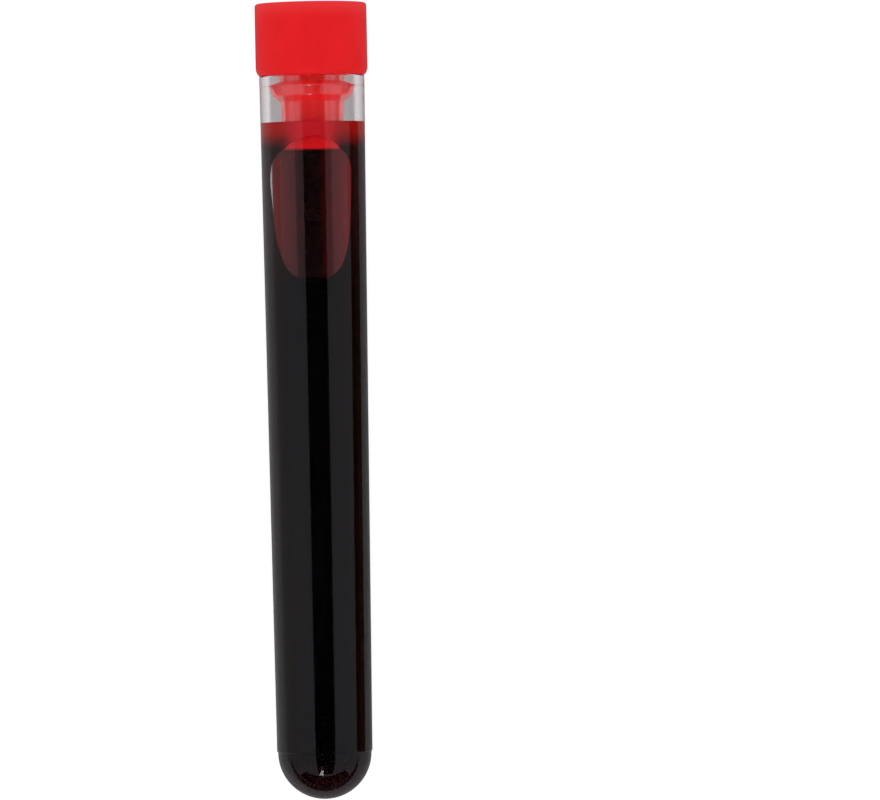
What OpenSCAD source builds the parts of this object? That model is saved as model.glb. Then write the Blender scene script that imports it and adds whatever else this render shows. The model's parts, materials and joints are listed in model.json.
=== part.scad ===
// Round-bottom sample tube with a push-in cap, filled with blood, lying at rest on a flat surface.
// Millimetres. Each piece is drawn upright, with the pole of the round end at the origin and the
// tube's axis along +Z, and lay_down() then lays it along +Y with the cap towards +Y and +Z up.
// The air bubble in the sample is on the upright -Y side, which is the upper side once it lies.

/* [Tube] */
// Length of the tube from the round end's pole to the rim
tube_length = 86; // [60:1:110]
// Outside diameter at the rim
mouth_d = 12.5; // [11.6:0.1:16]
// Outside diameter at the foot of the tapered wall, where the round end begins
foot_d = 11.35; // [10.6:0.05:14]
// How far the round end is set in from the foot of the tapered wall, on the radius
foot_step = 0.12; // [0.05:0.01:0.3]
// Short straight stretch between the foot of the tapered wall and the round end
foot_rise = 0.15; // [0.1:0.05:0.6]
// Thickness of the side wall
wall = 1.05; // [0.7:0.05:1.3]
// Thickness of the round end at its pole
end_wall = 1.1; // [0.7:0.05:2]
// Rounding of the rim's two edges
rim_round = 0.2; // [0.05:0.05:0.3]

/* [Cap head] */
// Height of the head above the rim
head_h = 8.6; // [5:0.1:14]
// How far the head stands out past the rim, on the radius
head_overhang = 0.4; // [0.3:0.05:2]
// Height of the long rounding at the head's lower edge
lower_edge_h = 0.95; // [0.6:0.05:1.5]
// Depth of that rounding, on the radius
lower_edge_depth = 0.42; // [0.2:0.02:0.5]
// Rounding of the head's upper edge
upper_edge_round = 0.35; // [0.1:0.05:0.8]
// Thickness of the head's flat top over the hollow of the plug
top_wall = 2; // [1:0.1:4]

/* [Cap plug] */
// Length of the plug below the head
plug_length = 8.7; // [6.5:0.1:14]
// Diameter of the plug at the head
plug_d = 7.6; // [6.2:0.1:9.2]
// How much narrower the plug is at its tip, on the diameter
plug_taper = 0.5; // [0:0.1:1]
// Rounding of the plug's tip
tip_round = 0.5; // [0.1:0.05:0.6]
// Wall between the plug's tip and its hollow core
plug_wall = 1.1; // [0.8:0.05:1.5]
// Depth of the sealing ring's sharp edge below the head
ring_edge_depth = 1.15; // [0.9:0.05:2]
// Drop of the ring's upper face from its sharp edge up to the plug
ring_upper_rise = 0.45; // [0.1:0.05:0.6]
// Height of the ring's narrow land against the bore
ring_land_h = 0.15; // [0.1:0.05:0.4]
// Height of the ring's long lead-in flank below the land
ring_flank_h = 1.1; // [0.5:0.05:2]
// How much the flank narrows over that height, on the radius
ring_flank_depth = 0.46; // [0.2:0.02:0.9]
// Height of the ring's short undercut below the flank, down to the plug
ring_foot_h = 0.7; // [0.3:0.05:1.2]

/* [Sample] */
// Distance from the rim down to the liquid
fill_drop = 5.6; // [4.5:0.1:8]
// Distance from the rim to the centre of the bubble's wide end
bubble_head_drop = 11.9; // [10:0.1:16]
// Width of the bubble's wide end
bubble_head_w = 8.5; // [5:0.1:8.8]
// Distance from the rim to the centre of the bubble's narrow end
bubble_tail_drop = 20.6; // [18:0.1:40]
// Width of the bubble's narrow end
bubble_tail_w = 6.8; // [3:0.1:8]
// Depth of the bubble below the upper wall of the bore
bubble_depth = 2.3; // [1:0.1:3]

/* [Fits] */
// Running clearance between the sealing ring and the bore, on the radius
ring_clearance = 0.04; // [0.02:0.01:0.1]
// Gap between the head's underside and the rim
seat_gap = 0.02; // [0:0.01:0.1]
// Gap between the sample and the bore
sample_gap = 0.02; // [0.01:0.01:0.1]
// Gap between the sample and the plug
plug_clearance = 0.15; // [0.05:0.01:0.3]

/* [Hidden] */
$fn = 128;
overshoot = 1; // how far a cut runs past the face that it opens

mouth_r = mouth_d / 2;
foot_r = foot_d / 2;
round_r = foot_r - foot_step;
foot_z = round_r + foot_rise;

bore_mouth_r = mouth_r - wall;
bore_foot_r = foot_r - wall;
bore_foot_z = end_wall + bore_foot_r;

head_r = mouth_r + head_overhang;
head_z = tube_length + seat_gap;
cap_top_z = head_z + head_h;
lower_edge_r = (pow(lower_edge_h, 2) + pow(lower_edge_depth, 2)) / (2 * lower_edge_depth);

plug_r = plug_d / 2;
tip_r = plug_r - plug_taper / 2;
core_r = tip_r - plug_wall;
ring_z = head_z - ring_edge_depth;
land_z = ring_z - ring_land_h;
flank_z = land_z - ring_flank_h;

fill_z = tube_length - fill_drop;
bubble_head_z = tube_length - bubble_head_drop;
bubble_tail_z = tube_length - bubble_tail_drop;

// Radius of the bore at a height, along the bore's straight taper
function bore_r(z) =
    bore_foot_r + (bore_mouth_r - bore_foot_r) * (z - bore_foot_z) / (tube_length - bore_foot_z);

// Radius of the plug at a distance below the head
function plug_r_at(drop) = plug_r - (plug_r - tip_r) * drop / plug_length;

land_r = bore_r(land_z) - ring_clearance;

// The tube rests on the foot of its tapered wall and on the rounding of the head's lower edge.
// Its tilt is the slope of the line that passes through the first and touches the second.
span_z = head_z + lower_edge_h - foot_z;
span_r = head_r - lower_edge_r - foot_r;
rest_tilt = atan2(span_r, span_z) + asin(lower_edge_r / norm([span_r, span_z]));
pole_h = foot_r * cos(rest_tilt) - foot_z * sin(rest_tilt);
cap_end_y = (cap_top_z - upper_edge_round) * cos(rest_tilt)
    + (head_r - upper_edge_round) * sin(rest_tilt) + upper_edge_round;
round_end_y = round_r * cos(rest_tilt) - round_r;
middle_y = (cap_end_y + round_end_y) / 2;

// Lays an upright piece on its side at rest, centred over the origin
module lay_down() {
    translate([0, -middle_y, pole_h]) rotate([rest_tilt - 90, 0, 0]) children();
}

// What a quarter-round of radius r takes off a corner at the origin that points to +X and +Y
module corner_off(r) {
    difference() {
        translate([-r, -r]) square(r + overshoot);
        translate([-r, -r]) circle(r);
    }
}

// Half section of a tapered wall that ends in a hemisphere, filled in to the axis
module round_end_section(end_r, end_z, top_r, top_z) {
    polygon([[0, end_z], [end_r, end_z], [top_r, top_z], [0, top_z]]);
    intersection() {
        translate([0, end_z]) circle(end_r);
        translate([0, end_z - end_r]) square(end_r);
    }
}

// Half section of the bore from its round bottom up to a height, with its wall set in by a gap
module bore_section(top_z, gap) {
    round_end_section(bore_foot_r - gap, bore_foot_z, bore_r(top_z) - gap, top_z);
}

// Clear moulded tube: tapered wall, small step at its foot, hemispherical end, rounded rim
module tube_body() {
    color([0.82, 0.84, 0.86, 0.45]) lay_down() rotate_extrude() difference() {
        union() {
            polygon([[0, foot_z], [foot_r, foot_z], [mouth_r, tube_length], [0, tube_length]]);
            round_end_section(round_r, round_r, round_r, foot_z);
        }
        bore_section(tube_length + overshoot, 0);
        translate([mouth_r, tube_length]) corner_off(rim_round);
        translate([bore_mouth_r, tube_length]) mirror([1, 0]) corner_off(rim_round);
    }
}

// What the long rounding takes off the head's lower edge
module lower_edge_off() {
    difference() {
        translate([head_r - lower_edge_depth, head_z - overshoot])
            square([lower_edge_depth + overshoot, lower_edge_h + overshoot]);
        translate([head_r - lower_edge_r, head_z + lower_edge_h]) circle(lower_edge_r);
    }
}

// Half section of the cap: up the plug's outside, over the barbed sealing ring, round the head,
// and back down the hollow core
module cap_section() {
    tip_z = head_z - plug_length;
    foot_of_ring_z = flank_z - ring_foot_h;
    polygon([
        [core_r, tip_z],
        [tip_r, tip_z],
        [plug_r_at(head_z - foot_of_ring_z), foot_of_ring_z],
        [land_r - ring_flank_depth, flank_z],
        [land_r, land_z],
        [bore_r(ring_z) - ring_clearance, ring_z],
        [plug_r, ring_z + ring_upper_rise],
        [plug_r, head_z],
        [head_r, head_z],
        [head_r, cap_top_z],
        [0, cap_top_z],
        [0, cap_top_z - top_wall],
        [core_r, cap_top_z - top_wall],
    ]);
}

// Red moulded cap in one piece: head, hollow plug and sealing ring
module push_cap() {
    color([0.76, 0.05, 0.06]) lay_down() rotate_extrude() difference() {
        cap_section();
        lower_edge_off();
        translate([head_r, cap_top_z]) corner_off(upper_edge_round);
        translate([tip_r, head_z - plug_length]) mirror([0, 1]) corner_off(tip_round);
    }
}

// Outline of the air bubble seen from above: a wide end and a narrow end joined by straight sides
module bubble_outline() {
    head_w = bubble_head_w / 2;
    tail_w = bubble_tail_w / 2;
    translate([0, bubble_head_z]) circle(head_w);
    translate([0, bubble_tail_z]) circle(tail_w);
    polygon([
        [-head_w, bubble_head_z],
        [head_w, bubble_head_z],
        [tail_w, bubble_tail_z],
        [-tail_w, bubble_tail_z],
    ]);
}

// Blood up to the fill line, with the room that the plug and the air bubble take in it
module blood_sample() {
    surface_y = bore_r(bubble_head_z) - bubble_depth;
    color([0.3, 0.02, 0.03]) lay_down() difference() {
        rotate_extrude() bore_section(fill_z, sample_gap);
        translate([0, 0, head_z - plug_length - plug_clearance]) cylinder(
            h = plug_length,
            r1 = tip_r + plug_clearance,
            r2 = plug_r + plug_clearance
        );
        translate([0, -surface_y, 0]) rotate([90, 0, 0]) linear_extrude(mouth_r) bubble_outline();
    }
}

tube_body();
push_cap();
blood_sample();
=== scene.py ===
"""A clear sample tube with a red push-in cap, filled with blood, lying on a white studio table.

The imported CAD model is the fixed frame: the tube's pole and the direction of its axis come from there.
Each piece is a class that holds its sizes in millimetres. It is modelled upright, with the pole of the
round end at the origin and the tube's axis along +Z, and is then laid on that axis in metres. The air
bubble is on the upright -Y side, which is the upper side once the tube lies. The studio's sizes are in
metres.
"""

from __future__ import annotations

import json
import logging
import math
from collections.abc import Iterable, Iterator
from contextlib import contextmanager
from dataclasses import dataclass, field
from enum import Enum
from itertools import pairwise

import bpy
from mathutils import Matrix, Vector

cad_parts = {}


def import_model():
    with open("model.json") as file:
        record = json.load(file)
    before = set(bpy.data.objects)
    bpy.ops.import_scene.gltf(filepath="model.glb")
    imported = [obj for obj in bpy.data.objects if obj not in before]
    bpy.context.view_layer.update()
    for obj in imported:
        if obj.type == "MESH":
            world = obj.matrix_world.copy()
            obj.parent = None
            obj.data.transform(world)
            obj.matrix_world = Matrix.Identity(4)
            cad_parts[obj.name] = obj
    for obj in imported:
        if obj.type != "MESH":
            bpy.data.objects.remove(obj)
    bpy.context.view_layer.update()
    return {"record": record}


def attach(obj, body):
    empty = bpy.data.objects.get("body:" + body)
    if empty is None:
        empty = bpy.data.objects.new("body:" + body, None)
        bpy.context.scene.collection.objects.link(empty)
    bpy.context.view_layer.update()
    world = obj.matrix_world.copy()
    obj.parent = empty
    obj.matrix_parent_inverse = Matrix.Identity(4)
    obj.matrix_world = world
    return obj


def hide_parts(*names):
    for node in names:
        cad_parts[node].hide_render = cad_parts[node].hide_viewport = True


LOG = logging.getLogger("sample_tube")

MM = 0.001
TURN_STEPS = 160
MERGE_MM = 0.0005
SMOOTH_ANGLE = math.radians(32)

Point = tuple[float, float]
Colour = tuple[float, float, float, float]
Stops = tuple[tuple[float, Colour], ...]
Socket = bpy.types.NodeSocket
Feed = Socket | float | tuple[float, ...]

BLACK: Colour = (0.0, 0.0, 0.0, 1)
WHITE: Colour = (1.0, 1.0, 1.0, 1)
NOISE_SPREAD = (0.35, 0.65)
NOISE_MIDDLE = 0.5


# ---------------------------------------------------------------- mesh tools


def select_only(piece: bpy.types.Object) -> None:
    """Selects one object, makes it active and deselects the rest.

    Args:
        piece: The object to select.
    """
    bpy.ops.object.select_all(action="DESELECT")
    piece.select_set(True)
    bpy.context.view_layer.objects.active = piece


@contextmanager
def editing(piece: bpy.types.Object) -> Iterator[bpy.types.Object]:
    """Opens a piece in edit mode with everything selected, and closes it again.

    Args:
        piece: The object to edit.

    Yields:
        The same object, in edit mode.
    """
    select_only(piece)
    bpy.ops.object.mode_set(mode="EDIT")
    bpy.ops.mesh.select_mode(type="VERT")
    bpy.ops.mesh.select_all(action="SELECT")
    yield piece
    bpy.ops.object.mode_set(mode="OBJECT")


def arc(centre: Point, radius: float, start_deg: float, end_deg: float, steps: int) -> list[Point]:
    """Points on a round stretch of a half section.

    Args:
        centre: Distance from the axis and height of the arc's centre.
        radius: The arc's radius.
        start_deg: Angle of the first point, from straight outwards towards the cap.
        end_deg: Angle of the last point.
        steps: Number of pieces that the arc is divided into.

    Returns:
        The arc's points, both ends included.
    """
    angles = [math.radians(start_deg + (end_deg - start_deg) * k / steps) for k in range(steps + 1)]
    return [(centre[0] + radius * math.cos(a), centre[1] + radius * math.sin(a)) for a in angles]


def straight(start: Point, end: Point, hold: float, steps: int) -> list[Point]:
    """Points on a straight stretch, with one close to each end that keeps the ends' shading to itself.

    Args:
        start: First point.
        end: Last point.
        hold: Distance of the second point from the first, and of the last but one from the last.
        steps: Number of even pieces between those two.

    Returns:
        The stretch's points, both ends included.
    """
    share = hold / math.dist(start, end)
    shares = [0.0, *(share + (1 - 2 * share) * k / steps for k in range(steps + 1)), 1.0]
    return [(start[0] + (end[0] - start[0]) * s, start[1] + (end[1] - start[1]) * s) for s in shares]


def turned(name: str, outline: list[Point]) -> bpy.types.Object:
    """Draws a half section point by point and spins it about the tube's axis.

    Args:
        name: The new object's name.
        outline: Distance from the axis and height of each point, in millimetres.

    Returns:
        A closed mesh object whose faces point outwards.
    """
    points = [outline[0]] + [b for a, b in pairwise(outline) if math.dist(a, b) > MERGE_MM]
    bpy.ops.object.select_all(action="DESELECT")
    bpy.ops.mesh.primitive_plane_add(size=1, location=(points[0][0], 0, points[0][1]))
    piece = bpy.context.active_object
    piece.name = piece.data.name = name
    bpy.ops.object.transform_apply(location=True, rotation=False, scale=False)
    with editing(piece):
        bpy.ops.mesh.merge(type="CENTER")
        for (r0, z0), (r1, z1) in pairwise(points):
            bpy.ops.mesh.extrude_vertices_move(TRANSFORM_OT_translate={"value": (r1 - r0, 0, z1 - z0)})
        bpy.ops.mesh.select_all(action="SELECT")
        bpy.ops.mesh.spin(steps=TURN_STEPS, angle=math.tau, center=(0, 0, 0), axis=(0, 0, 1))
        bpy.ops.mesh.select_all(action="SELECT")
        bpy.ops.mesh.remove_doubles(threshold=MERGE_MM)
        bpy.ops.mesh.normals_make_consistent(inside=False)
    return piece


def smooth(piece: bpy.types.Object) -> None:
    """Shades a piece smooth, apart from its real edges.

    Args:
        piece: The object to shade.
    """
    select_only(piece)
    bpy.ops.object.shade_smooth_by_angle(angle=SMOOTH_ANGLE)


def roll_selected(angle: float, z: float) -> None:
    """Rolls what is selected in edit mode about the tube's axis.

    Args:
        angle: The roll, counter-clockwise as seen from the cap.
        z: Height of what is rolled.
    """
    bpy.ops.transform.rotate(value=-angle, orient_axis="Z", center_override=(0, 0, z))


def flowing(values: list[float], steps: int) -> list[float]:
    """Fills in a smooth run of values that passes through the given ones, as a Catmull-Rom curve does.

    Args:
        values: The values to pass through.
        steps: Number of pieces between two of them.

    Returns:
        The whole run.
    """
    padded = [values[0], *values, values[-1]]
    run = []
    for k in range(len(values) - 1):
        before, start, end, after = padded[k : k + 4]
        for u in (step / steps for step in range(steps)):
            bend = (2 * before - 5 * start + 4 * end - after) * u**2
            bend += (3 * start - before - 3 * end + after) * u**3
            run.append(start + 0.5 * ((end - before) * u + bend))
    return [*run, values[-1]]


# ---------------------------------------------------------------- frame


@dataclass(frozen=True)
class Bed:
    """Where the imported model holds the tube: the pole of its round end and its axis."""

    pole: Vector
    axis: Vector

    @classmethod
    def from_record(cls, record: dict) -> Bed:
        """Reads the pole from the seat mount and the axis from the cap's joint.

        Args:
            record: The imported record.

        Returns:
            The bed that the pieces are laid on.
        """
        seat = next(m for m in record["mounts"] if m["name"] == "rack_seat")
        joint = next(j for j in record["behaviour"]["joints"] if j["name"] == "cap_pull")
        return cls(Vector(seat["pos_m"]), Vector(joint["axis"]).normalized())

    def turn(self) -> Matrix:
        """The rotation that lays an upright piece down, with its -Y side uppermost."""
        side = Vector((1, 0, 0))
        return Matrix((side, self.axis.cross(side), self.axis)).transposed()

    def lay(self, piece: bpy.types.Object) -> None:
        """Puts an upright piece in its place, in metres, and leaves its object at the origin.

        Args:
            piece: The upright object, in millimetres.
        """
        piece.matrix_world = Matrix.Translation(self.pole) @ self.turn().to_4x4() @ Matrix.Scale(MM, 4)
        select_only(piece)
        bpy.ops.object.transform_apply(location=True, rotation=True, scale=True)


# ---------------------------------------------------------------- finishes


class Output(Enum):
    """What a node sheet ends in."""

    MATERIAL = "ShaderNodeOutputMaterial"
    WORLD = "ShaderNodeOutputWorld"


class NodeSheet:
    """A node tree, with short ways to add nodes and join them."""

    def __init__(self, owner: bpy.types.Material | bpy.types.World, output: Output) -> None:
        """Empties the owner's node tree, apart from a new output.

        Args:
            owner: What the tree belongs to.
            output: The kind of output.
        """
        owner.use_nodes = True
        self.owner = owner
        self.tree = owner.node_tree
        self.tree.nodes.clear()
        self.output = self.tree.nodes.new(output.value)

    @classmethod
    def finish(cls, name: str) -> NodeSheet:
        """Starts a new material.

        Args:
            name: The material's name.

        Returns:
            Its empty sheet.
        """
        return cls(bpy.data.materials.new(name), Output.MATERIAL)

    def add(self, kind: str, settings: dict | None = None, **inputs: Feed) -> bpy.types.Node:
        """Adds a node.

        Args:
            kind: The node's type.
            settings: Properties to set on the node.
            **inputs: Values or output sockets for the inputs, by name with _ for a space.

        Returns:
            The new node.
        """
        node = self.tree.nodes.new(kind)
        for key, value in (settings or {}).items():
            setattr(node, key, value)
        for key, value in inputs.items():
            self.feed(node.inputs[key.replace("_", " ")], value)
        return node

    def feed(self, socket: Socket, value: Feed) -> None:
        """Gives an input its value, or links it to an output.

        Args:
            socket: The input.
            value: A plain value, or an output socket.
        """
        if isinstance(value, Socket):
            self.tree.links.new(value, socket)
        else:
            socket.default_value = value

    def maths(self, operation: str, *values: Feed) -> Socket:
        """Adds a maths node, whose result has no limits.

        Args:
            operation: The node's operation.
            *values: Its inputs in order, each a number or an output socket.

        Returns:
            The result's socket.
        """
        node = self.add("ShaderNodeMath", {"operation": operation})
        for socket, value in zip(node.inputs, values):
            self.feed(socket, value)
        return node.outputs[0]

    def fade(self, value: Socket, start: float, end: float) -> Socket:
        """A smooth change from 0 to 1 as a value goes from start to end.

        Args:
            value: The socket that is followed.
            start: The value at which the result is 0.
            end: The value at which the result is 1.

        Returns:
            The result's socket.
        """
        node = self.add(
            "ShaderNodeMapRange",
            {"interpolation_type": "SMOOTHSTEP"},
            Value=value,
            From_Min=start,
            From_Max=end,
        )
        return node.outputs["Result"]

    def between(self, share: Socket, low: float, high: float) -> Socket:
        """A number that goes from low to high as a share goes from 0 to 1.

        Args:
            share: The socket that is followed.
            low: The number where the share is 0.
            high: The number where the share is 1.

        Returns:
            The number's socket.
        """
        return self.add("ShaderNodeMapRange", Value=share, To_Min=low, To_Max=high).outputs["Result"]

    def ramp(self, value: Socket, stops: Stops) -> Socket:
        """Colours that follow a value.

        Args:
            value: The socket that is followed.
            stops: Place and colour of each stop, from 0 to 1.

        Returns:
            The colour's socket.
        """
        node = self.add("ShaderNodeValToRGB", Fac=value)
        elements = node.color_ramp.elements
        while len(elements) < len(stops):
            elements.new(1.0)
        for element, (place, colour) in zip(elements, stops):
            element.position, element.color = place, colour
        return node.outputs["Color"]

    def mix(self, share: Feed, first: Feed, second: Feed) -> Socket:
        """Mixes two colours.

        Args:
            share: How much of the second, as a number or a socket.
            first: A colour or a socket.
            second: A colour or a socket.

        Returns:
            The mixed colour's socket.
        """
        node = self.tree.nodes.new("ShaderNodeMix")
        node.data_type = "RGBA"
        colours = [s for s in node.inputs if s.type == "RGBA"]
        self.feed(node.inputs[0], share)
        self.feed(colours[0], first)
        self.feed(colours[1], second)
        return next(s for s in node.outputs if s.type == "RGBA")

    def upright(self, bed: Bed) -> Socket:
        """The point on the piece in upright millimetres, as the piece's sizes are given.

        Args:
            bed: Where the tube lies.

        Returns:
            The coordinate's socket.
        """
        here = self.add("ShaderNodeTexCoord").outputs["Object"]
        stood = self.add("ShaderNodeMapping", {"vector_type": "TEXTURE"}, Vector=here)
        stood.inputs["Location"].default_value = bed.pole
        stood.inputs["Rotation"].default_value = bed.turn().to_euler()
        stood.inputs["Scale"].default_value = (MM, MM, MM)
        return stood.outputs["Vector"]

    def stretched(self, point: Socket, along: float) -> Socket:
        """A coordinate drawn out along the tube, for marks that run with the mould's draw.

        Args:
            point: The upright coordinate.
            along: How many times longer a mark is than it is wide.

        Returns:
            The drawn-out coordinate's socket.
        """
        node = self.add("ShaderNodeMapping", Vector=point, Scale=(1, 1, 1 / along))
        return node.outputs["Vector"]

    def noise(self, point: Socket, scale: float, detail: float) -> Socket:
        """Cloudy noise between about 0.3 and 0.7.

        Args:
            point: The coordinate that it follows.
            scale: How many clouds to a millimetre.
            detail: How many finer layers it has.

        Returns:
            The noise's socket.
        """
        node = self.add("ShaderNodeTexNoise", Vector=point, Scale=scale, Detail=detail)
        return node.outputs["Fac"]

    def patches(self, point: Socket, scale: float, detail: float) -> Socket:
        """Soft patches between 0 and 1, with plain stretches of both.

        Args:
            point: The coordinate that they follow.
            scale: How many patches to a millimetre.
            detail: How many finer layers they have.

        Returns:
            The patches' socket.
        """
        return self.fade(self.noise(point, scale, detail), *NOISE_SPREAD)

    def drift(self, point: Socket, scale: float, detail: float) -> Socket:
        """A small cloudy shift to both sides of 0, which keeps a border from being a straight line.

        Args:
            point: The coordinate that it follows.
            scale: How many clouds to a millimetre.
            detail: How many finer layers it has.

        Returns:
            The shift's socket.
        """
        return self.maths("SUBTRACT", self.noise(point, scale, detail), NOISE_MIDDLE)

    def either(self, share: Feed, first: Socket, second: Socket) -> Socket:
        """Mixes two shaders.

        Args:
            share: How much of the second, as a number or a socket.
            first: A shader.
            second: A shader.

        Returns:
            The mixed shader's socket.
        """
        node = self.tree.nodes.new("ShaderNodeMixShader")
        for socket, value in zip(node.inputs, (share, first, second)):
            self.feed(socket, value)
        return node.outputs[0]

    def path(self, fact: str) -> Socket:
        """Something about the ray that arrives.

        Args:
            fact: The Light Path output's name.

        Returns:
            Its socket.
        """
        return self.add("ShaderNodeLightPath").outputs[fact]

    def once(self, depth: str) -> Socket:
        """1 for a ray that has met a kind of surface once or more, 0 for the rest.

        Args:
            depth: The Light Path output that counts how often.

        Returns:
            Its socket.
        """
        return self.maths("MINIMUM", self.path(depth), 1.0)

    def opposite(self, share: Socket) -> Socket:
        """0 where a share is 1, and 1 where it is 0.

        Args:
            share: The share's socket.

        Returns:
            The opposite's socket.
        """
        return self.maths("SUBTRACT", 1.0, share)

    def as_light(self) -> Socket:
        """1 for a ray that lights a matt surface, 0 for what a mirror or a clear wall shows."""
        return self.once("Diffuse Depth")

    def behind_wall(self) -> Socket:
        """1 for a ray that has come through a clear wall, 0 for the rest."""
        return self.once("Transmission Depth")

    def unmirrored(self) -> Socket:
        """1 for a ray that no gloss has thrown back yet, 0 for the rest."""
        return self.opposite(self.once("Glossy Depth"))

    def close(self, shader: Socket) -> bpy.types.Material | bpy.types.World:
        """Joins the shader to the output.

        Args:
            shader: The shader's output.

        Returns:
            The tree's owner, now finished.
        """
        self.feed(self.output.inputs["Surface"], shader)
        return self.owner


@dataclass(frozen=True)
class ClearPlastic:
    """Clear moulded polystyrene: a faint smoky tint, glossy, with very faint draw marks."""

    tint_light: Colour = (0.975, 0.975, 0.975, 1)
    tint_dark: Colour = (0.945, 0.945, 0.945, 1)
    shade_under: Colour = (0.97, 0.97, 0.97, 1)
    refraction: float = 1.57
    mark_scale: float = 0.8
    mark_detail: float = 2
    mark_stretch: float = 9
    roughness_low: float = 0.0
    roughness_high: float = 0.03

    def material(self, bed: Bed) -> bpy.types.Material:
        """Builds the finish.

        Args:
            bed: Where the tube lies.

        Returns:
            The material.
        """
        sheet = NodeSheet.finish("clear_polystyrene")
        drawn = sheet.stretched(sheet.upright(bed), self.mark_stretch)
        marks = sheet.patches(drawn, self.mark_scale, self.mark_detail)
        glass = sheet.add(
            "ShaderNodeBsdfPrincipled",
            Base_Color=sheet.mix(marks, self.tint_light, self.tint_dark),
            Roughness=sheet.between(marks, self.roughness_low, self.roughness_high),
            IOR=self.refraction,
            Transmission_Weight=1.0,
        )
        lamp_light = sheet.add("ShaderNodeBsdfTransparent", Color=self.shade_under)
        to_lamp = sheet.path("Is Shadow Ray")
        return sheet.close(sheet.either(to_lamp, glass.outputs[0], lamp_light.outputs[0]))


@dataclass(frozen=True)
class RedPlastic:
    """Red moulded polyethylene: satin, with faint clouds of colour and draw marks, and paler towards its
    top edge: painted light, a painted sheen on the head's top edge and a painted glow on the plug's neck.
    """

    name: str = "red_polyethylene"
    red: Colour = (0.80, 0.0015, 0.005, 1)
    deep_red: Colour = (0.76, 0.001, 0.004, 1)
    painted_light_red: Colour = (0.83, 0.024, 0.028, 1)
    painted_light_depth: float = 2.4
    painted_light_power: float = 1.6
    refraction: float = 1.3
    cloud_scale: float = 0.35
    cloud_detail: float = 3
    grain_scale: float = 7
    grain_detail: float = 4
    mark_scale: float = 1.8
    mark_detail: float = 3
    mark_stretch: float = 12
    roughness_low: float = 0.34
    roughness_high: float = 0.46
    bump_strength: float = 0.04
    bump_distance: float = 0.00004
    depth_weight: float = 0.0
    depth_scale: float = 0.0022
    depth_reach: tuple[float, float, float] = (1.0, 0.25, 0.2)

    def material(self, bed: Bed, top_z: float) -> bpy.types.Material:
        """Builds the finish.

        Args:
            bed: Where the tube lies.
            top_z: Height towards which the painted light grows paler: the head's top, or the seat for the
                plug.

        Returns:
            The material.
        """
        sheet = NodeSheet.finish(self.name)
        point = sheet.upright(bed)
        height = sheet.add("ShaderNodeSeparateXYZ", Vector=point).outputs["Z"]
        clouds = sheet.patches(point, self.cloud_scale, self.cloud_detail)
        # Painted light: the colour pales towards top_z, a painted sheen on the head and a painted glow on
        # the plug's neck.
        near_edge = sheet.fade(height, top_z - self.painted_light_depth, top_z)
        edge = sheet.maths("POWER", near_edge, self.painted_light_power)
        drawn = sheet.stretched(point, self.mark_stretch)
        marks = sheet.noise(drawn, self.mark_scale, self.mark_detail)
        grain = sheet.noise(point, self.grain_scale, self.grain_detail)
        bump = sheet.add(
            "ShaderNodeBump",
            Strength=self.bump_strength,
            Distance=self.bump_distance,
            Height=sheet.maths("ADD", marks, grain),
        )
        plastic = sheet.add(
            "ShaderNodeBsdfPrincipled",
            Base_Color=sheet.mix(edge, sheet.mix(clouds, self.red, self.deep_red), self.painted_light_red),
            Roughness=sheet.between(marks, self.roughness_low, self.roughness_high),
            IOR=self.refraction,
            Subsurface_Weight=self.depth_weight,
            Subsurface_Scale=self.depth_scale,
            Subsurface_Radius=self.depth_reach,
            Normal=bump.outputs["Normal"],
        )
        return sheet.close(plastic.outputs[0])


def polished_red_with_painted_light() -> RedPlastic:
    """The finish of the cap's plug, which the mould leaves glossy. Its reds are lighter than the head's:
    painted light for the plug behind the tube's wall.
    """
    return RedPlastic(
        name="polished_red_polyethylene",
        # Painted light: lighter reds than the head's, for the plug behind the tube's wall.
        red=(0.95, 0.025, 0.028, 1),
        deep_red=(0.91, 0.022, 0.025, 1),
        painted_light_red=(1.0, 0.038, 0.042, 1),
        painted_light_depth=1.5,
        refraction=2.9,
        roughness_low=0.10,
        roughness_high=0.16,
        depth_weight=0.8,
    )


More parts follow.
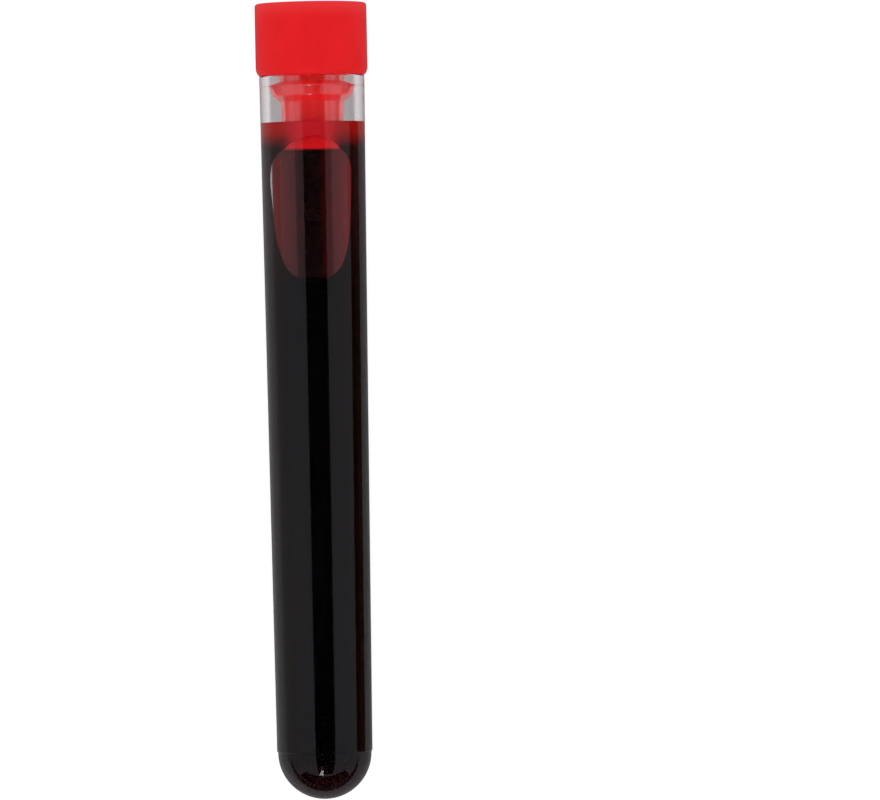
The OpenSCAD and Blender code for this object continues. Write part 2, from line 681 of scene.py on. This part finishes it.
@dataclass(frozen=True)
class BloodAgainstWall:
    """Blood where it wets the clear wall: near black and redder towards the round end, with painted light
    where light would shine through thin blood: red near the top, where the plug thins it, and a faint red
    at the sides and by the air bubble.
    """

    deep: Colour = (0.0018, 0.0011, 0.0016, 1)
    side_painted_light: Colour = (0.0038, 0.0010, 0.0008, 1)
    bubble_painted_light: Colour = (0.0150, 0.0030, 0.0028, 1)
    by_pole: Colour = (0.0110, 0.0025, 0.0025, 1)
    plug_film_painted_light: Colour = (0.50, 0.0115, 0.018, 1)
    collar_painted_light: Colour = (0.33, 0.006, 0.005, 1)
    refraction: float = 1.12
    roughness: float = 0.06
    plug_middle: float = 1.2
    plug_side: float = 3.5
    side_from: float = 2.2
    side_start: float = 0.7
    side_depth: float = 3.2
    pole_start: float = 5.2
    pole_end: float = 2.2
    red_under_tail: float = 2
    red_over_tail: float = 8
    glow_under_tip: float = 0.7
    glow_over_tip: float = 0.5
    cloud_scale: float = 0.7
    cloud_detail: float = 2

    def material(self, bed: Bed, fill_z: float, tip_z: float, tail_z: float) -> bpy.types.Material:
        """Builds the finish.

        Args:
            bed: Where the tube lies.
            fill_z: Height of the liquid's top.
            tip_z: Height of the plug's tip.
            tail_z: Height of the air bubble's lower end.

        Returns:
            The material.
        """
        sheet = NodeSheet.finish("blood_against_wall")
        point = sheet.upright(bed)
        parts = sheet.add("ShaderNodeSeparateXYZ", Vector=point)
        drift = sheet.drift(point, self.cloud_scale, self.cloud_detail)
        height = sheet.maths("ADD", parts.outputs["Z"], drift)
        from_middle = sheet.maths("ABSOLUTE", parts.outputs["X"])
        # Painted light: a faint red at the sides and by the air bubble, where light would shine through
        # thin blood.
        side = sheet.fade(from_middle, self.side_from, self.plug_side)
        bubble_side = sheet.fade(height, tail_z - self.red_under_tail, tail_z + self.red_over_tail)
        wet = sheet.mix(side, self.deep, sheet.mix(bubble_side, self.side_painted_light, self.bubble_painted_light))
        body = sheet.mix(sheet.fade(height, self.pole_end, self.pole_start), self.by_pole, wet)
        # Painted light: red near the top, over and beside the plug, where the lit plug would show through
        # thin blood.
        beside = sheet.fade(height, fill_z - self.side_depth, fill_z - self.side_start)
        over = sheet.fade(height, tip_z - self.glow_under_tip, tip_z + self.glow_over_tip)
        at_side = sheet.mix(beside, body, self.collar_painted_light)
        at_plug = sheet.mix(over, body, self.plug_film_painted_light)
        off_plug = sheet.fade(from_middle, self.plug_middle, self.plug_side)
        liquid = sheet.add(
            "ShaderNodeBsdfPrincipled",
            Base_Color=sheet.mix(off_plug, at_plug, at_side),
            Roughness=self.roughness,
            IOR=self.refraction,
        )
        return sheet.close(liquid.outputs[0])


@dataclass(frozen=True)
class BloodInAir:
    """Blood's free surface: wet and dark, with painted light: redder where it thins out to its edge,
    brightest at the very edge, and bright over the plug, where the lit plug would show through.
    """

    edge_painted_light: Stops = (
        (0.00, (0.0075, 0.0032, 0.0032, 1)),
        (0.03, (0.0090, 0.0032, 0.0032, 1)),
        (0.12, (0.033, 0.0018, 0.0022, 1)),
        (0.32, (0.068, 0.0022, 0.0030, 1)),
        (0.66, (0.107, 0.0028, 0.0040, 1)),
        (0.92, (0.145, 0.0040, 0.0050, 1)),
        (1.00, (0.180, 0.0060, 0.0070, 1)),
    )
    dome_painted_light: Colour = (0.66, 0.010, 0.014, 1)
    refraction: float = 1.08
    roughness: float = 0.04
    across_power: float = 2.2
    cloud_scale: float = 0.5
    cloud_detail: float = 2
    cloud_weight: float = 0.12
    glow_under_tip: float = 0.28
    glow_over_tip: float = 0.12

    def material(self, bed: Bed, bubble: Bubble, tip_z: float) -> bpy.types.Material:
        """Builds the finish.

        Args:
            bed: Where the tube lies.
            bubble: The air bubble.
            tip_z: Height of the plug's tip.

        Returns:
            The material.
        """
        sheet = NodeSheet.finish("blood_in_air")
        point = sheet.upright(bed)
        parts = sheet.add("ShaderNodeSeparateXYZ", Vector=point)
        away = sheet.maths("SUBTRACT", parts.outputs["X"], bubble.aside)
        share = sheet.maths("ABSOLUTE", sheet.maths("DIVIDE", away, bubble.half_width))
        drift = sheet.drift(point, self.cloud_scale, self.cloud_detail)
        # Painted light: redder towards the bubble's edge, where light would shine through thin blood.
        edge = sheet.maths(
            "ADD",
            sheet.maths("POWER", share, self.across_power),
            sheet.maths("MULTIPLY", drift, self.cloud_weight),
        )
        # Painted light: bright over the plug's tip, where the lit plug would show through.
        over = sheet.fade(parts.outputs["Z"], tip_z - self.glow_under_tip, tip_z + self.glow_over_tip)
        liquid = sheet.add(
            "ShaderNodeBsdfPrincipled",
            Base_Color=sheet.mix(over, sheet.ramp(edge, self.edge_painted_light), self.dome_painted_light),
            Roughness=self.roughness,
            IOR=self.refraction,
        )
        return sheet.close(liquid.outputs[0])


# ---------------------------------------------------------------- pieces


@dataclass(frozen=True)
class TubeShell:
    """The clear tube: tapered wall, small step at its foot, round end, rounded rim."""

    length: float = 86
    mouth_r: float = 6.25
    foot_r: float = 5.675
    foot_step: float = 0.12
    foot_rise: float = 0.15
    step_round: float = 0.04
    wall: float = 1.05
    end_wall: float = 1.1
    rim_round: float = 0.2
    hold: float = 0.12
    end_steps: int = 40
    bore_end_steps: int = 36
    wall_steps: int = 12
    rim_steps: int = 6
    finish: ClearPlastic = field(default_factory=ClearPlastic)

    @property
    def round_r(self) -> float:
        """Radius of the round end."""
        return self.foot_r - self.foot_step

    @property
    def foot_z(self) -> float:
        """Height of the step at the foot of the tapered wall."""
        return self.round_r + self.foot_rise

    @property
    def bore_foot_r(self) -> float:
        """Radius of the bore where its round bottom begins."""
        return self.foot_r - self.wall

    @property
    def bore_mouth_r(self) -> float:
        """Radius of the bore at the rim."""
        return self.mouth_r - self.wall

    @property
    def bore_foot_z(self) -> float:
        """Height at which the bore's round bottom begins."""
        return self.end_wall + self.bore_foot_r

    def bore_r(self, z: float) -> float:
        """Radius of the bore at a height on its tapered stretch.

        Args:
            z: The height above the pole.

        Returns:
            The radius.
        """
        share = (z - self.bore_foot_z) / (self.length - self.bore_foot_z)
        return self.bore_foot_r + (self.bore_mouth_r - self.bore_foot_r) * share

    def outline(self) -> list[Point]:
        """Half section: up the outside from the pole, over the rim and down the bore."""
        edge, rim = self.step_round, self.rim_round
        rim_z = self.length - rim
        foot, mouth = (self.foot_r, self.foot_z + edge), (self.mouth_r, rim_z)
        bore_mouth, bore_foot = (self.bore_mouth_r, rim_z), (self.bore_foot_r, self.bore_foot_z)
        return [
            *arc((0, self.round_r), self.round_r, -90, 0, self.end_steps),
            (self.round_r, self.foot_z - edge),
            (self.round_r + edge / 2, self.foot_z),
            (self.foot_r - edge, self.foot_z),
            *straight(foot, mouth, self.hold, self.wall_steps),
            *arc((self.mouth_r - rim, rim_z), rim, 0, 90, self.rim_steps),
            *arc((self.bore_mouth_r + rim, rim_z), rim, 90, 180, self.rim_steps),
            *straight(bore_mouth, bore_foot, self.hold, self.wall_steps),
            *arc((0, self.bore_foot_z), self.bore_foot_r, 0, -90, self.bore_end_steps),
        ]

    def build(self, bed: Bed) -> bpy.types.Object:
        """Models the tube and dresses it.

        Args:
            bed: Where the tube lies.

        Returns:
            The finished piece.
        """
        piece = turned("tube_shell", self.outline())
        smooth(piece)
        bed.lay(piece)
        piece.data.materials.append(self.finish.material(bed))
        return piece


@dataclass(frozen=True)
class PushCap:
    """The red cap: head with a long rounding at its lower edge, hollow plug and barbed sealing ring."""

    seat_z: float = 86.02
    head_h: float = 8.6
    head_r: float = 6.65
    lower_edge_h: float = 0.95
    lower_edge_depth: float = 0.42
    upper_round: float = 0.35
    top_wall: float = 2
    plug_length: float = 8.7
    plug_r: float = 3.8
    tip_r: float = 3.55
    tip_round: float = 0.5
    core_r: float = 2.45
    ring_depth: float = 1.15
    ring_rise: float = 0.45
    ring_land: float = 0.15
    ring_gap: float = 0.04
    ring_flank_h: float = 1.1
    ring_flank_depth: float = 0.46
    ring_foot_h: float = 0.7
    ring_contact: float = 0.22
    ring_bite: float = 0.01
    edge_round: float = 0.03
    hold: float = 0.1
    ring_hold: float = 0.05
    plug_steps: int = 4
    head_steps: int = 6
    tip_steps: int = 6
    lower_edge_steps: int = 10
    upper_edge_steps: int = 8
    finish: RedPlastic = field(default_factory=RedPlastic)
    plug_finish: RedPlastic = field(default_factory=polished_red_with_painted_light)

    @property
    def top_z(self) -> float:
        """Height of the head's flat top."""
        return self.seat_z + self.head_h

    @property
    def tip_z(self) -> float:
        """Height of the plug's tip."""
        return self.seat_z - self.plug_length

    def plug_r_at(self, z: float) -> float:
        """Radius of the plug at a height.

        Args:
            z: The height above the tube's pole.

        Returns:
            The radius.
        """
        return self.plug_r - (self.plug_r - self.tip_r) * (self.seat_z - z) / self.plug_length

    def outline(self, tube: TubeShell) -> list[Point]:
        """Half section: down the hollow core, up the plug, over the ring, round the head.

        Args:
            tube: The tube that the ring bears on.

        Returns:
            The section's points.
        """
        ring_z = self.seat_z - self.ring_depth
        land_z = ring_z - self.ring_land
        flank_z = land_z - self.ring_flank_h
        ring_foot_z = flank_z - self.ring_foot_h
        land_r = tube.bore_r(land_z) - self.ring_gap
        flank_r = land_r - self.ring_flank_depth
        edge_r = (self.lower_edge_h**2 + self.lower_edge_depth**2) / (2 * self.lower_edge_depth)
        edge_deg = math.degrees(math.asin(self.lower_edge_h / edge_r))
        core_z = self.top_z - self.top_wall
        tip_edge_z = self.tip_z + self.tip_round
        tip_edge = (self.plug_r_at(tip_edge_z), tip_edge_z)
        ring_foot = (self.plug_r_at(ring_foot_z), ring_foot_z)
        flank, land = (flank_r, flank_z), (land_r, land_z)
        ring_edge, ring_root = (land_r - self.edge_round, ring_z), (self.plug_r, ring_z + self.ring_rise)
        side_z, upper_z = self.seat_z + self.lower_edge_h, self.top_z - self.upper_round
        upper_r = self.head_r - self.upper_round
        return [
            (0, core_z),
            (self.core_r - self.hold, core_z),
            *straight((self.core_r, core_z), (self.core_r, self.tip_z), self.hold, self.plug_steps),
            *arc((self.tip_r - self.tip_round, tip_edge_z), self.tip_round, -90, 0, self.tip_steps),
            *straight(tip_edge, ring_foot, self.hold, self.plug_steps),
            *straight(ring_foot, flank, self.hold, 1),
            *straight(flank, land, self.hold, 1),
            (land_r, ring_z - self.ring_contact),
            (tube.bore_r(ring_z) + self.ring_bite, ring_z - self.ring_contact / 2),
            (land_r, ring_z),
            *straight(ring_edge, ring_root, self.ring_hold, 1),
            (self.plug_r, self.seat_z - self.edge_round),
            (self.plug_r + self.edge_round, self.seat_z),
            (self.head_r - self.lower_edge_depth - self.hold, self.seat_z),
            *arc((self.head_r - edge_r, side_z), edge_r, -edge_deg, 0, self.lower_edge_steps),
            *straight((self.head_r, side_z), (self.head_r, upper_z), self.hold, self.head_steps),
            *arc((upper_r, upper_z), self.upper_round, 0, 90, self.upper_edge_steps),
            (upper_r - self.hold, self.top_z),
            (0, self.top_z),
        ]

    def build(self, bed: Bed, tube: TubeShell) -> bpy.types.Object:
        """Models the cap and dresses it.

        Args:
            bed: Where the tube lies.
            tube: The tube that the cap closes.

        Returns:
            The finished piece.
        """
        piece = turned("cap_moulding", self.outline(tube))
        # The plug and the head's underside take the plug's finish; its lighter reds are painted light on
        # the shaded underside and neck.
        for face in piece.data.polygons:
            face.material_index = int(face.center.z < self.seat_z + self.edge_round)
        smooth(piece)
        bed.lay(piece)
        piece.data.materials.append(self.finish.material(bed, self.top_z))
        # The plug's painted glow grows towards the seat.
        piece.data.materials.append(self.plug_finish.material(bed, self.seat_z))
        return piece


@dataclass(frozen=True)
class Station:
    """The air bubble's cross-section at one height.

    The blood's surface there is part of an ellipse. It meets the wall at an angle from the ellipse's own
    middle, dips to a level over the tube's axis, and is rolled a little about that axis.
    """

    z: float
    contact_deg: float
    level: float
    roll_deg: float


@dataclass(frozen=True)
class Bubble:
    """The air bubble under the upper wall, from its narrow tail up to its head over the plug's tip."""

    stations: tuple[Station, ...] = (
        Station(61.70, 4.0, 5.00, -1.8),
        Station(62.05, 20.5, 4.30, -1.8),
        Station(62.90, 33.0, 3.85, -1.3),
        Station(64.08, 41.0, 3.30, -1.4),
        Station(66.46, 50.3, 2.80, -2.6),
        Station(68.84, 53.8, 2.60, -3.5),
        Station(71.22, 56.4, 2.45, -4.3),
        Station(73.60, 58.0, 2.40, -4.9),
        Station(75.35, 56.0, 2.45, -3.9),
        Station(76.54, 47.2, 2.80, -2.2),
        Station(77.22, 36.8, 3.45, -0.7),
        Station(77.95, 27.5, 3.72, 0.5),
        Station(78.50, 16.5, 3.95, 2.5),
        Station(78.80, 6.0, 4.40, 3.0),
    )
    ellipse_middle: float = 5.43
    half_width: float = 4.35
    aside: float = -0.28
    steps: int = 5
    corners: int = 96

    @property
    def tail_z(self) -> float:
        """Height of the bubble's lower end."""
        return self.stations[0].z

    def rings(self, tube: TubeShell) -> list[tuple[float, float, float, float]]:
        """Height, half-width, half-depth and roll of each ring of the bubble's room.

        Args:
            tube: The tube whose wall the bubble lies against.

        Returns:
            The rings from the tail to the head.
        """
        facts = ("z", "contact_deg", "level", "roll_deg")
        runs = (flowing([getattr(s, fact) for s in self.stations], self.steps) for fact in facts)
        rings = []
        for z, contact_deg, level, roll_deg in zip(*runs):
            contact = math.radians(contact_deg)
            depth = self.ellipse_middle - level
            share = (self.ellipse_middle - tube.bore_r(z) * math.cos(contact)) / depth
            width = tube.bore_r(z) * math.sin(contact) / math.sqrt(1 - share**2)
            rings.append((z, width, depth, math.radians(roll_deg)))
        return rings

    def cutter(self, tube: TubeShell) -> bpy.types.Object:
        """The bubble's room as a closed mesh, drawn ring by ring from the tail to the head.

        Args:
            tube: The tube whose wall the bubble lies against.

        Returns:
            The cutter, which is upright.
        """
        rings = self.rings(tube)
        z, width, depth, roll = rings[0]
        bpy.ops.object.select_all(action="DESELECT")
        bpy.ops.mesh.primitive_circle_add(
            vertices=self.corners,
            radius=1,
            fill_type="NGON",
            location=(0, -self.ellipse_middle, z),
        )
        piece = bpy.context.active_object
        piece.scale = (width, depth, 1)
        bpy.ops.object.transform_apply(location=True, rotation=False, scale=True)
        with editing(piece):
            bpy.ops.mesh.select_mode(type="FACE")
            bpy.ops.mesh.select_all(action="SELECT")
            roll_selected(roll, z)
            for (z0, width0, depth0, roll0), (z1, width1, depth1, roll1) in pairwise(rings):
                bpy.ops.mesh.extrude_region_move(TRANSFORM_OT_translate={"value": (0, 0, z1 - z0)})
                roll_selected(-roll0, z1)
                bpy.ops.transform.resize(
                    value=(width1 / width0, depth1 / depth0, 1),
                    center_override=(0, -self.ellipse_middle, z1),
                )
                roll_selected(roll1, z1)
            bpy.ops.mesh.select_mode(type="VERT")
            bpy.ops.mesh.select_all(action="DESELECT")
            bpy.ops.mesh.select_non_manifold()
            bpy.ops.mesh.edge_face_add()
            bpy.ops.mesh.select_all(action="SELECT")
            bpy.ops.mesh.normals_make_consistent(inside=False)
        return piece


@dataclass(frozen=True)
class BloodFill:
    """The blood: it wets the bore, the plug and the upper wall on both sides of the air bubble."""

    fill_z: float = 80.5
    soak: float = 0.03
    bite: float = 0.02
    sag: float = 0.3
    hold: float = 0.15
    sag_steps: int = 12
    end_steps: int = 36
    wall_steps: int = 40
    plug_steps: int = 3
    corner_steps: int = 5
    skin_slack: float = 0.015
    bubble: Bubble = field(default_factory=Bubble)
    wall_finish: BloodAgainstWall = field(default_factory=BloodAgainstWall)
    air_finish: BloodInAir = field(default_factory=BloodInAir)

    def outline(self, tube: TubeShell, cap: PushCap) -> list[Point]:
        """Half section: up the bore from the pole, over the hollow top, down the plug.

        Args:
            tube: The tube that holds the blood.
            cap: The cap whose plug stands in it.

        Returns:
            The section's points.
        """
        skin = tube.bore_foot_r + self.soak
        wall_r = tube.bore_r(self.fill_z) + self.soak
        plug_r = cap.plug_r_at(self.fill_z) - self.bite
        half, middle = (wall_r - plug_r) / 2, (wall_r + plug_r) / 2
        top = [
            (middle - half * u, self.fill_z - self.sag * (1 - u * u))
            for u in (2 * k / self.sag_steps - 1 for k in range(self.sag_steps + 1))
        ]
        corner_r = cap.tip_round - self.bite
        tip = (cap.tip_r - cap.tip_round, cap.tip_z + cap.tip_round)
        return [
            *arc((0, tube.bore_foot_z), skin, -90, 0, self.end_steps),
            *straight((skin, tube.bore_foot_z), (wall_r, self.fill_z), self.hold, self.wall_steps),
            *top,
            *straight(top[-1], (tip[0] + corner_r, tip[1]), self.hold, self.plug_steps),
            *arc(tip, corner_r, 0, -90, self.corner_steps),
            (0, cap.tip_z + self.bite),
        ]

    def build(self, bed: Bed, tube: TubeShell, cap: PushCap) -> bpy.types.Object:
        """Models the blood with its air bubble and dresses it.

        Args:
            bed: Where the tube lies.
            tube: The tube that holds the blood.
            cap: The cap whose plug stands in it.

        Returns:
            The finished piece.
        """
        piece = turned("blood_fill", self.outline(tube, cap))
        cutter = self.bubble.cutter(tube)
        select_only(piece)
        hollow = piece.modifiers.new("air_bubble", "BOOLEAN")
        hollow.operation = "DIFFERENCE"
        hollow.solver = "EXACT"
        hollow.object = cutter
        bpy.ops.object.modifier_apply(modifier=hollow.name)
        bpy.data.objects.remove(cutter)
        piece.data.materials.clear()
        for finish in (
            self.wall_finish.material(bed, self.fill_z, cap.tip_z, self.bubble.tail_z),
            self.air_finish.material(bed, self.bubble, cap.tip_z),
        ):
            piece.data.materials.append(finish)
        for face in piece.data.polygons:
            face.material_index = int(not self._on_skin(tube, face.center))
        smooth(piece)
        bed.lay(piece)
        return piece

    def _on_skin(self, tube: TubeShell, point: Vector) -> bool:
        """Whether a point of the upright blood lies against the tube's wall.

        Args:
            tube: The tube that holds the blood.
            point: The point, in upright millimetres.

        Returns:
            True on the wall, False on a surface that meets the air or the plug.
        """
        if point.z < tube.bore_foot_z:
            return True
        from_axis = math.hypot(point.x, point.y)
        return from_axis > tube.bore_r(point.z) + self.soak - self.skin_slack


# ---------------------------------------------------------------- studio


class SeenFrom(Enum):
    """Which gloss a card shows in."""

    ANYWHERE = "all gloss"
    OUTSIDE = "the gloss on outer surfaces"
    INSIDE = "the gloss on what lies behind the clear wall"


@dataclass(frozen=True)
class Card:
    """A card that shows in gloss alone, where it darkens a stretch of what is reflected."""

    name: str
    centre: tuple[float, float, float]
    size: tuple[float, float, float]
    shade: Colour = BLACK
    seen_from: SeenFrom = SeenFrom.ANYWHERE

    def build(self) -> None:
        """Hangs the card."""
        bpy.ops.object.select_all(action="DESELECT")
        bpy.ops.mesh.primitive_cube_add(size=1, location=self.centre, scale=self.size)
        card = bpy.context.active_object
        card.name = card.data.name = self.name
        card.visible_camera = card.visible_diffuse = card.visible_shadow = False
        sheet = NodeSheet.finish(self.name)
        hidden = sheet.maths("MAXIMUM", sheet.as_light(), sheet.unmirrored())
        if self.seen_from is SeenFrom.OUTSIDE:
            hidden = sheet.maths("MAXIMUM", hidden, sheet.behind_wall())
        elif self.seen_from is SeenFrom.INSIDE:
            hidden = sheet.maths("MAXIMUM", hidden, sheet.opposite(sheet.behind_wall()))
        matt = sheet.add("ShaderNodeEmission", Color=self.shade, Strength=1.0)
        away = sheet.add("ShaderNodeBsdfTransparent")
        card.data.materials.append(sheet.close(sheet.either(hidden, matt.outputs[0], away.outputs[0])))


@dataclass(frozen=True)
class Lamp:
    """A rectangular lamp aimed at the tube."""

    name: str
    place: tuple[float, float, float]
    size: tuple[float, float]
    watts: float

    def build(self) -> None:
        """Hangs the lamp."""
        bpy.ops.object.select_all(action="DESELECT")
        bpy.ops.object.light_add(type="AREA", location=self.place)
        lamp = bpy.context.active_object
        lamp.name = lamp.data.name = self.name
        lamp.rotation_euler = Vector(self.place).to_track_quat("Z", "Y").to_euler()
        lamp.data.shape = "RECTANGLE"
        lamp.data.size, lamp.data.size_y = self.size
        lamp.data.energy = self.watts
        lamp.visible_camera = lamp.visible_diffuse = False


PALE_GREY: Colour = (0.33, 0.33, 0.335, 1)
MID_GREY: Colour = (0.235, 0.235, 0.24, 1)
DARK_GREY: Colour = (0.10, 0.10, 0.10, 1)
DARKER_GREY: Colour = (0.07, 0.07, 0.07, 1)
RED_BLACK: Colour = (0.024, 0.005, 0.002, 1)
SIDE_SHEET = (0.58, 1.2, 0.0003)


@dataclass(frozen=True)
class Studio:
    """The white table, the tent round it, its lamp and cards, and the camera above."""

    table_half: float = 3.0
    table_drop: float = 0.00002
    table_roughness: float = 0.9
    table_white: Colour = (0.95, 0.95, 0.95, 1)
    table_shade_through_wall: Colour = (0.41, 0.405, 0.405, 1)
    mirrored_table_shade: Colour = (0.27, 0.27, 0.28, 1)
    camera_white: Colour = (0.35, 0.35, 0.35, 1)
    camera_glow: float = 0.80
    tent_light: Colour = (1.0, 1.0, 1.02, 1)
    tent_light_inside: Colour = (2.0, 2.0, 2.04, 1)
    tent_mirrored: Colour = (0.265, 0.265, 0.285, 1)
    camera_distance: float = 0.81
    camera_aside: float = 0.0145
    camera_ahead: float = -0.000156
    camera_lens: float = 278.45
    camera_clip: float = 0.01
    camera_roll_deg: float = 1.1
    lamp: Lamp = Lamp("small_lamp", place=(-0.061, -0.48, 0.372), size=(0.07, 0.13), watts=0.125)
    cards: tuple[Card, ...] = (
        Card("overhead_card", (0.029, -0.1, 0.5), (0.44, 1.2, 0.002)),
        Card("front_card", (0, -0.7, 0.2), (1.4, 0.002, 0.4)),
        Card("front_floor_card", (0, -0.385, 0.0005), (0.5, 0.626, 0.0005)),
        Card("low_card", (0.0278, 0, 0.0055), (0.0125, 0.086, 0.011), RED_BLACK, SeenFrom.OUTSIDE),
        Card("left_inside_card", (-0.312, 0, 0.0002), SIDE_SHEET, DARK_GREY, SeenFrom.INSIDE),
        Card("right_inside_card", (0.312, 0, 0.0002), SIDE_SHEET, DARKER_GREY, SeenFrom.INSIDE),
        Card(
            "left_near_card", (-0.0195, -0.01, 0.0004), (0.022, 0.1, 0.0004), PALE_GREY, SeenFrom.OUTSIDE
        ),
        Card("left_far_card", (-0.325, 0, 0.0004), (0.56, 1.2, 0.0004), MID_GREY, SeenFrom.OUTSIDE),
        Card("left_low_card", (-0.6, 0, 0.13), (0.002, 1.2, 0.26), MID_GREY, SeenFrom.OUTSIDE),
        Card("plug_card", (0.0012, 0.036, 0.05), (0.0836, 0.05, 0.0005), BLACK, SeenFrom.INSIDE),
    )

    def build(self, axis_height: float) -> None:
        """Sets up everything round the object.

        Args:
            axis_height: Height of the tube's axis over the table.
        """
        self._table()
        self._tent()
        self._camera(axis_height)
        for card in self.cards:
            card.build()
        self.lamp.build()
        view = bpy.context.scene.view_settings
        view.view_transform = "Standard"
        view.look = "None"

    def _table(self) -> None:
        """Lays the white table, which glows a little for the camera as a lit table does. In gloss and
        through the clear wall it is darker: painted shade for the table round and under the tube.
        """
        bpy.ops.object.select_all(action="DESELECT")
        bpy.ops.mesh.primitive_plane_add(size=2 * self.table_half, location=(0, 0, -self.table_drop))
        table = bpy.context.active_object
        table.name = table.data.name = "table"
        sheet = NodeSheet.finish("white_table")
        # Painted shade: the table is darker in gloss and through the clear wall than as light, for the
        # shade round and under the tube.
        through_wall = sheet.path("Is Transmission Ray")
        seen = sheet.mix(through_wall, self.mirrored_table_shade, self.table_shade_through_wall)
        matt = sheet.mix(sheet.as_light(), seen, self.table_white)
        paper = sheet.add("ShaderNodeBsdfDiffuse", Color=matt)
        lit = sheet.add(
            "ShaderNodeBsdfPrincipled",
            Base_Color=self.camera_white,
            Roughness=self.table_roughness,
            Emission_Color=WHITE,
            Emission_Strength=self.camera_glow,
        )
        table.data.materials.append(
            sheet.close(sheet.either(sheet.path("Is Camera Ray"), paper.outputs[0], lit.outputs[0]))
        )

    def _tent(self) -> None:
        """Surrounds the table with a plain tent, which is dimmer in mirrors and clear walls."""
        sheet = NodeSheet(bpy.data.worlds.new("tent"), Output.WORLD)
        direct = sheet.maths("MAXIMUM", sheet.as_light(), sheet.path("Is Camera Ray"))
        light = sheet.mix(sheet.behind_wall(), self.tent_light, self.tent_light_inside)
        cloth = sheet.add("ShaderNodeBackground", Color=sheet.mix(direct, self.tent_mirrored, light))
        world = sheet.close(cloth.outputs[0])
        world.cycles.sampling_method = "NONE"
        bpy.context.scene.world = world

    def _camera(self, axis_height: float) -> None:
        """Sets the camera straight above, a little to the tube's right, with a long lens.

        Args:
            axis_height: Height of the tube's axis over the table.
        """
        place = (self.camera_aside, self.camera_ahead, axis_height + self.camera_distance)
        bpy.ops.object.select_all(action="DESELECT")
        bpy.ops.object.camera_add(location=place, rotation=(0, 0, -math.radians(self.camera_roll_deg)))
        camera = bpy.context.active_object
        camera.data.lens = self.camera_lens
        camera.data.clip_start = self.camera_clip
        bpy.context.scene.camera = camera


# ---------------------------------------------------------------- assembly


def main() -> None:
    """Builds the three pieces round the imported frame, then the studio."""
    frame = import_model()
    bed = Bed.from_record(frame["record"])
    tube, cap, blood = TubeShell(), PushCap(), BloodFill()

    shell = tube.build(bed)
    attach(shell, "tube")
    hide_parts("tube_body")

    moulding = cap.build(bed, tube)
    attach(moulding, "cap")
    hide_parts("push_cap")

    filling = blood.build(bed, tube, cap)
    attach(filling, "tube")
    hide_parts("blood_sample")

    for piece in (shell, moulding, filling):
        LOG.info("%s: %d faces", piece.name, len(piece.data.polygons))
    Studio().build(bed.pole.z)


if __name__ == "__main__":
    logging.basicConfig(level=logging.INFO, format="%(name)s %(message)s")
    main()
